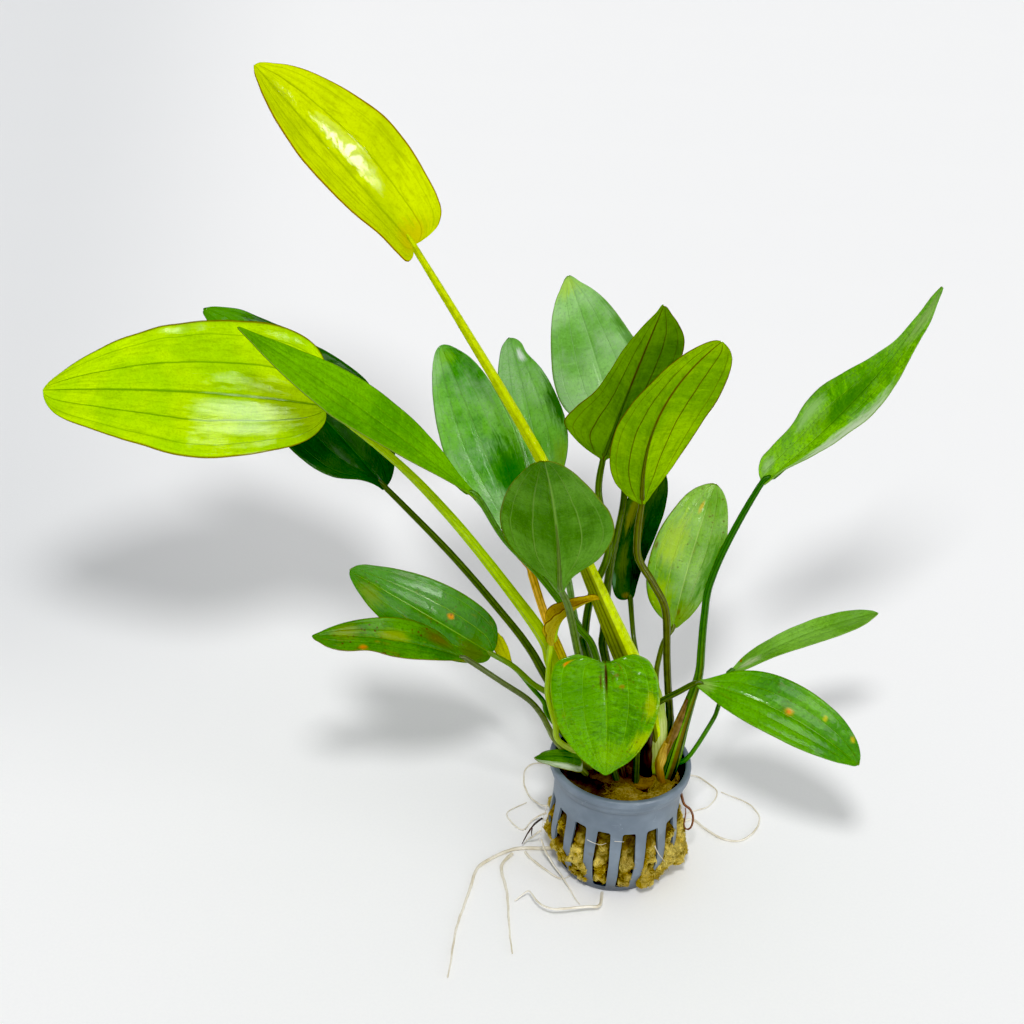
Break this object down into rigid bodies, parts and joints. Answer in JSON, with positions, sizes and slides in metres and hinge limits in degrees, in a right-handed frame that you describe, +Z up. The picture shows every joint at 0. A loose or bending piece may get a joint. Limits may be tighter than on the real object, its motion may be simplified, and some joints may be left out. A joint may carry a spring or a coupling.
{
  "type": "potted echinodorus",
  "caption": "Young sword plant with broad stalked leaves in a small slotted net pot, with fine roots lying around its foot.",
  "frame": {"origin": "centre of the pot's foot, on the surface it stands on", "axes": "+Z up along the pot's axis, -Y towards the plant's front, +X to the right as seen from the front"},
  "size_m": [0.287, 0.1228, 0.3031],
  "materials": {
    "pot": "satin",
    "medium": "matte",
    "rhizome": "matte",
    "leaf_yellow": "gloss",
    "leaf_lime": "gloss",
    "leaf_green": "gloss",
    "leaf_dark": "gloss",
    "leaf_underside": "satin",
    "leaf_wilted": "satin",
    "stalk_lime": "gloss",
    "stalk_green": "satin",
    "stalk_dark": "satin",
    "dead": "matte",
    "root_pale": "satin",
    "root_dark": "satin",
    "root_rust": "satin"
  },
  "bodies": {
    "root": {"net_pot": "pot", "growing_medium": "medium", "crown": "rhizome", "dead_stalk": "dead", "leaf_tall": "leaf_yellow", "leaf_broad": "leaf_lime", "leaf_long": "leaf_green", "leaf_shaded": "leaf_dark", "leaf_speckled": "leaf_green", "leaf_inner": "leaf_green", "leaf_upright": "leaf_green", "leaf_hood_back": "leaf_underside", "leaf_hood_front": "leaf_underside", "leaf_front_cup": "leaf_green", "leaf_folded": "leaf_dark", "leaf_patched": "leaf_green", "leaf_right_high": "leaf_green", "leaf_right_low": "leaf_green", "leaf_right_thin": "leaf_green", "leaf_left_high": "leaf_green", "leaf_left_low": "leaf_green", "leaf_left_small": "leaf_wilted", "leaf_wilted": "leaf_wilted", "leaf_heart": "leaf_lime", "leaf_rim": "leaf_dark", "stalk_tall": "stalk_lime", "stalk_broad": "stalk_lime", "stalk_long": "stalk_green", "stalk_shaded": "stalk_green", "stalk_speckled": "stalk_green", "stalk_inner": "stalk_green", "stalk_upright": "stalk_dark", "stalk_hood_back": "stalk_dark", "stalk_hood_front": "stalk_dark", "stalk_front_cup": "stalk_green", "stalk_folded": "stalk_dark", "stalk_patched": "stalk_green", "stalk_right_high": "stalk_green", "stalk_right_low": "stalk_dark", "stalk_right_thin": "stalk_green", "stalk_left_high": "stalk_green", "stalk_left_low": "stalk_green", "stalk_left_small": "stalk_green", "stalk_wilted": "stalk_green", "stalk_heart": "stalk_green", "root_long": "root_pale", "root_fork": "root_pale", "root_returning": "root_pale", "root_pale": "root_pale", "root_dark": "root_dark", "root_trailing": "root_pale", "root_front": "root_pale", "root_back_loop": "root_pale", "root_side_loop": "root_pale", "root_right_small": "root_pale", "root_right_loop": "root_pale", "root_rust": "root_rust"}
  },
  "joints": []
}
